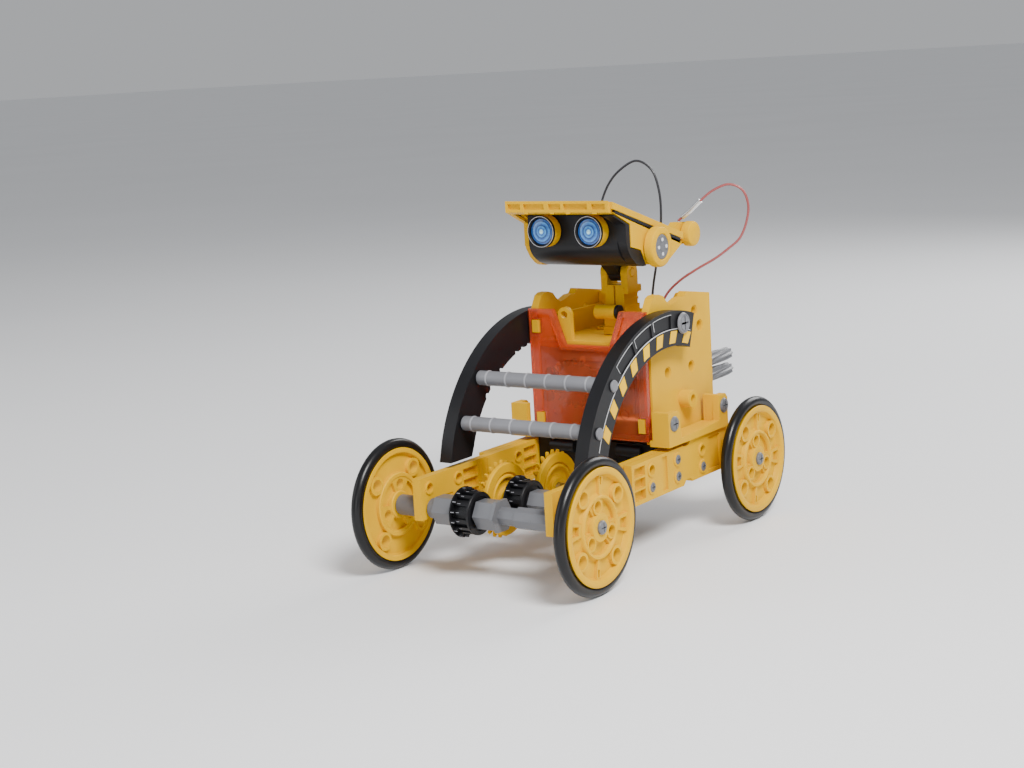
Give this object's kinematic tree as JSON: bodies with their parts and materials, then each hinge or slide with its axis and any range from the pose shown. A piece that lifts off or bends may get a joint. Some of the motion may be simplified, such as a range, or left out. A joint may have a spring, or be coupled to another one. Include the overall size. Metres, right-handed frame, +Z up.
{
  "type": "solar robot kit",
  "caption": "Four-wheeled toy robot with an open gear train, a torso under a clear red cover, curved side arches and a tilting solar-panel head.",
  "frame": {"origin": "on the floor, halfway between the two axles and on the centre line", "axes": "+Z up, -Y is the robot's front, +X is the robot's left"},
  "size_m": [0.0866, 0.151, 0.1314],
  "materials": {
    "yellow_plastic": "satin gloss moulded ABS",
    "black_plastic": "gloss moulded ABS",
    "grey_plastic": "satin moulded plastic",
    "tyre_rubber": "smooth rubber ring",
    "red_cover": "clear red plastic",
    "metal": "plain steel",
    "solar_cell": "solar cells under clear resin",
    "eye_disc": "printed disc under a clear lens",
    "red_insulation": "wire insulation",
    "black_insulation": "wire insulation"
  },
  "bodies": {
    "chassis": {"arm_left": "yellow_plastic", "arm_right": "yellow_plastic", "rail_left": "yellow_plastic", "rail_right": "yellow_plastic", "bracket_left": "yellow_plastic", "bracket_right": "yellow_plastic", "gearbox_base": "black_plastic", "side_plate_left": "yellow_plastic", "side_plate_right": "yellow_plastic", "back_cover": "yellow_plastic", "top_deck": "yellow_plastic", "front_cover": "red_cover", "motor": "metal", "arch_left": "black_plastic", "arch_right": "black_plastic", "arch_pin_left": "grey_plastic", "arch_pin_right": "grey_plastic", "crossbar_upper": "grey_plastic", "crossbar_lower": "grey_plastic", "neck_post": "yellow_plastic", "rear_peg_upper": "metal", "rear_peg_lower": "metal", "red_wire": "red_insulation", "black_wire": "black_insulation"},
    "front_wheels": {"front_axle": "metal", "wheel_front_left": "yellow_plastic", "wheel_front_right": "yellow_plastic", "tyre_front_left": "tyre_rubber", "tyre_front_right": "tyre_rubber", "spacer_front_left": "grey_plastic", "spacer_front_right": "grey_plastic", "hex_collar": "grey_plastic", "hex_sleeve": "grey_plastic", "drive_gear": "black_plastic"},
    "middle_gears": {"middle_shaft": "metal", "middle_large_gear": "yellow_plastic", "middle_small_gear": "black_plastic", "middle_sleeve": "grey_plastic"},
    "output_gears": {"output_shaft": "metal", "output_gear": "yellow_plastic"},
    "rear_wheels": {"rear_axle": "grey_plastic", "wheel_rear_left": "yellow_plastic", "wheel_rear_right": "yellow_plastic", "tyre_rear_left": "tyre_rubber", "tyre_rear_right": "tyre_rubber"},
    "motor_spindle": {"motor_pinion": "black_plastic"},
    "gearbox_spindle": {"gearbox_gear": "black_plastic"},
    "head": {"head_shell": "yellow_plastic", "solar_panel": "solar_cell", "face_plate": "black_plastic", "eye_tube_left": "yellow_plastic", "eye_tube_right": "yellow_plastic", "eye_lens_left": "eye_disc", "eye_lens_right": "eye_disc", "ear_disc_left": "yellow_plastic", "ear_disc_right": "yellow_plastic", "rear_knob_left": "yellow_plastic", "rear_knob_right": "yellow_plastic", "head_bracket": "black_plastic", "neck_pin": "metal"}
  },
  "joints": [
    {"name": "front_axle_spin", "type": "hinge", "parent": "chassis", "child": "front_wheels", "pos_m": [0, -0.053, 0.0225], "axis": [1, 0, 0], "continuous": true},
    {"name": "middle_shaft_spin", "type": "hinge", "parent": "chassis", "child": "middle_gears", "pos_m": [0, -0.033, 0.0225], "axis": [1, 0, 0], "continuous": true},
    {"name": "output_shaft_spin", "type": "hinge", "parent": "chassis", "child": "output_gears", "pos_m": [0, -0.013, 0.0225], "axis": [1, 0, 0], "continuous": true},
    {"name": "gearbox_gear_spin", "type": "hinge", "parent": "chassis", "child": "gearbox_spindle", "pos_m": [-0.01, 0.015, 0.054], "axis": [0, 1, 0], "continuous": true},
    {"name": "motor_spin", "type": "hinge", "parent": "chassis", "child": "motor_spindle", "pos_m": [0.002, 0.0155, 0.049], "axis": [0, 1, 0], "continuous": true},
    {"name": "rear_axle_spin", "type": "hinge", "parent": "chassis", "child": "rear_wheels", "pos_m": [0, 0.053, 0.0225], "axis": [1, 0, 0], "continuous": true},
    {"name": "head_tilt", "type": "hinge", "parent": "chassis", "child": "head", "pos_m": [0, 0.031, 0.0923], "axis": [1, 0, 0], "range_deg": [-15, 25], "deforming": ["red_wire", "black_wire"]}
  ],
  "couplings": [
    {"joint": "middle_shaft_spin", "follows": "front_axle_spin", "ratio": -0.6},
    {"joint": "output_shaft_spin", "follows": "front_axle_spin", "ratio": 0.36},
    {"joint": "gearbox_gear_spin", "follows": "front_axle_spin", "ratio": 1},
    {"joint": "motor_spin", "follows": "front_axle_spin", "ratio": -1.6}
  ]
}
